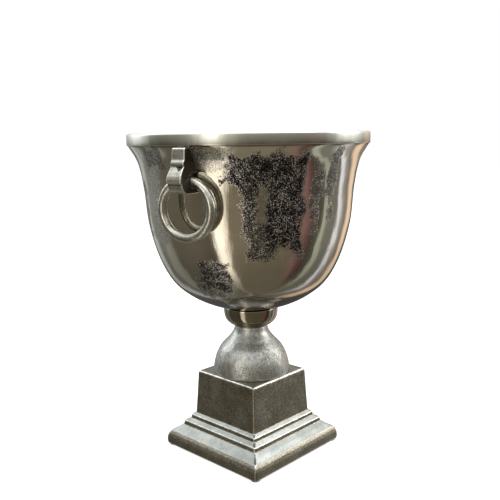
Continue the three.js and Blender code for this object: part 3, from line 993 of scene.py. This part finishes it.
def handles():
    for side, (x, y, _) in PIVOT.items():
        turn = math.atan2(y, x)
        bracket(side, turn)
        ring(side, turn)
        bracket_screw(side, turn)
        bracket_seal(side, turn)


# ---- studio ----
CAMERA_PLACE = (-0.5322, -0.5048, 0.3471)
CAMERA_DOWN = 9.4                  # degrees
CAMERA_ROLL = -0.81                # degrees
CAMERA_LENS = 48.2                 # millimetres, for a sensor 36 mm wide
CAMERA_AZIMUTH = math.atan2(CAMERA_PLACE[1], CAMERA_PLACE[0])
FLOOR_ALBEDO = 0.42


def camera():
    """Looks at the bucket's axis from just below the rim's height, a little down and barely rolled."""
    data = bpy.data.cameras.new("camera")
    data.lens = CAMERA_LENS
    data.sensor_width = 36
    made = bpy.data.objects.new("camera", data)
    turn = Matrix.Rotation(CAMERA_AZIMUTH + math.pi / 2, 4, "Z")
    lean = Matrix.Rotation(math.radians(90 - CAMERA_DOWN), 4, "X")
    roll = Matrix.Rotation(math.radians(CAMERA_ROLL), 4, "Z")
    made.matrix_world = Matrix.Translation(CAMERA_PLACE) @ turn @ lean @ roll
    bpy.context.scene.collection.objects.link(made)
    bpy.context.scene.camera = made


def seen_only_by_camera(made):
    made.visible_glossy = False
    made.visible_diffuse = False
    made.visible_transmission = False
    made.visible_shadow = False


def floor_material():
    """Pale and softly glowing from above, and not there at all from below."""
    s = Surface("floor")
    glow = s.node("Emission", Color=(1, 0.995, 0.985, 1), Strength=0.72)
    grain = s.ramp(s.noise(60, 3), (0.3, 0.98 * FLOOR_ALBEDO), (0.7, FLOOR_ALBEDO))
    pale = s.node("AddShader")
    s.put(pale.inputs[0], glow.outputs[0])
    s.put(pale.inputs[1], s.node("BsdfDiffuse", Color=grain).outputs[0])
    shade = s.node("MixShader")
    s.put(shade.inputs[0], s.node("NewGeometry").outputs["Backfacing"])
    s.put(shade.inputs[1], pale.outputs[0])
    s.put(shade.inputs[2], s.node("BsdfTransparent").outputs[0])
    return s.finished(shade.outputs[0])


def surround_material():
    s = Surface("surround")
    return s.finished(s.node("Emission", Color=(1, 1, 1, 1), Strength=1.0).outputs[0])


def stage():
    """A pale floor, and a pale surround that only the camera sees."""
    bpy.ops.mesh.primitive_circle_add(vertices=96, radius=7, fill_type="NGON", location=(0, 0, 0))
    floor = bpy.context.object
    floor.name = "floor"
    floor.data.materials.append(floor_material())
    floor.visible_glossy = False
    bpy.ops.mesh.primitive_uv_sphere_add(segments=64, ring_count=32, radius=9)
    surround = bpy.context.object
    surround.name = "surround"
    surround.data.materials.append(surround_material())
    seen_only_by_camera(surround)


def softbox(name, azimuth, elevation, distance, size, watts, colour=(1, 1, 1)):
    """A rectangular soft light aimed at the bucket; azimuth is in degrees to the right of the camera."""
    data = bpy.data.lights.new(name, "AREA")
    data.shape = "RECTANGLE"
    data.size, data.size_y = size
    data.energy = watts
    data.color = colour
    made = bpy.data.objects.new(name, data)
    angle = CAMERA_AZIMUTH + math.radians(azimuth)
    up = math.radians(elevation)
    place = Vector((math.cos(angle) * math.cos(up), math.sin(angle) * math.cos(up), math.sin(up))) * distance
    target = Vector((0, 0, HEIGHT * MM / 2))
    made.location = place + target
    made.rotation_mode = "QUATERNION"
    made.rotation_quaternion = (-place).to_track_quat("-Z", "Y")
    bpy.context.scene.collection.objects.link(made)


# What surrounds the bucket at table height: degrees to the right of the camera, and colour.
ROOM_BRIGHTNESS = 2.0
ROOM_BANDS = [
    (-180, (0.04, 0.04, 0.04)), (-158, (0.06, 0.06, 0.06)), (-150, (0.30, 0.31, 0.30)),
    (-141, (0.25, 0.26, 0.25)), (-136, (0.09, 0.09, 0.08)), (-128, (0.11, 0.11, 0.10)),
    (-124, (0.18, 0.18, 0.165)), (-112, (0.15, 0.15, 0.135)), (-106, (0.07, 0.065, 0.05)),
    (-66, (0.075, 0.066, 0.05)), (-46, (0.05, 0.042, 0.03)), (-40, (0.92, 0.85, 0.75)),
    (-30, (0.90, 0.83, 0.72)), (-22, (0.13, 0.11, 0.08)), (20, (0.10, 0.085, 0.062)),
    (55, (0.10, 0.085, 0.062)), (63, (0.15, 0.085, 0.082)), (70, (0.09, 0.045, 0.042)),
    (76, (0.04, 0.032, 0.028)), (86, (0.06, 0.052, 0.042)), (88, (0.27, 0.285, 0.24)),
    (94, (0.25, 0.265, 0.22)), (97, (0.12, 0.115, 0.10)), (111, (0.11, 0.11, 0.10)),
    (114, (0.58, 0.59, 0.63)), (119, (0.50, 0.51, 0.54)), (122, (0.24, 0.235, 0.23)),
    (132, (0.12, 0.10, 0.09)), (140, (0.62, 0.47, 0.34)), (149, (0.50, 0.39, 0.29)),
    (154, (0.05, 0.045, 0.04)), (180, (0.04, 0.04, 0.04)),
]


def world():
    """A dim warm room: azimuth bands at table height, as windows and walls give, and a pale ceiling."""
    s = Shader(bpy.data.worlds.new("room"), "World")
    bpy.context.scene.world = s.owner
    direction = s.node("TexCoord").outputs["Generated"]
    turned_direction = s.node("VectorRotate", Vector=direction, Angle=-CAMERA_AZIMUTH)
    turned_direction.rotation_type = "Z_AXIS"
    split = s.node("SeparateXYZ", Vector=turned_direction.outputs[0])
    azimuth = s.math("ARCTAN2", split.outputs[1], split.outputs[0])
    azimuth = s.math("MULTIPLY_ADD", azimuth, 0.5 / math.pi, 0.5)
    around = s.ramp(azimuth, *[((degrees + 180) / 360, colour) for degrees, colour in ROOM_BANDS])
    height = s.math("MULTIPLY_ADD", split.outputs[2], 0.5, 0.5)
    bands_seen = s.ramp(height, (0.0, 0.1), (0.05, 0.25), (0.10, 0.9), (0.14, 1.0), (0.57, 0.9), (0.75, 0.2),
                        (1.0, 0.0))
    by_height = s.ramp(height, (0.0, (0.13, 0.118, 0.088)), (0.10, (0.12, 0.108, 0.08)),
                       (0.30, (0.055, 0.046, 0.03)), (0.52, (0.22, 0.21, 0.18)),
                       (0.70, (0.5, 0.5, 0.48)), (1.0, (0.95, 0.97, 0.96)))
    colour = s.mix(bands_seen, by_height, around)
    s.finished(s.node("Background", Color=colour, Strength=ROOM_BRIGHTNESS).outputs[0])


def lights():
    softbox("overhead", 100, 74, 1.9, (2.2, 2.2), 30, (1, 0.99, 0.97))
    softbox("window", -33, 12, 2.4, (0.5, 1.4), 5, (1, 0.94, 0.85))
    softbox("far_left", -120, 20, 2.4, (1.2, 1.6), 10, (0.96, 0.98, 1))
    softbox("far_right", 98, 18, 2.4, (0.8, 1.0), 14, (1, 0.96, 0.90))


camera()
stage()
world()
lights()
bowl()
collar()
bell()
pedestal()
felt_feet()
tie_rod()
hex_nut()
flat_washer()
spring_washer()
handles()
bpy.context.scene.view_settings.view_transform = "Standard"
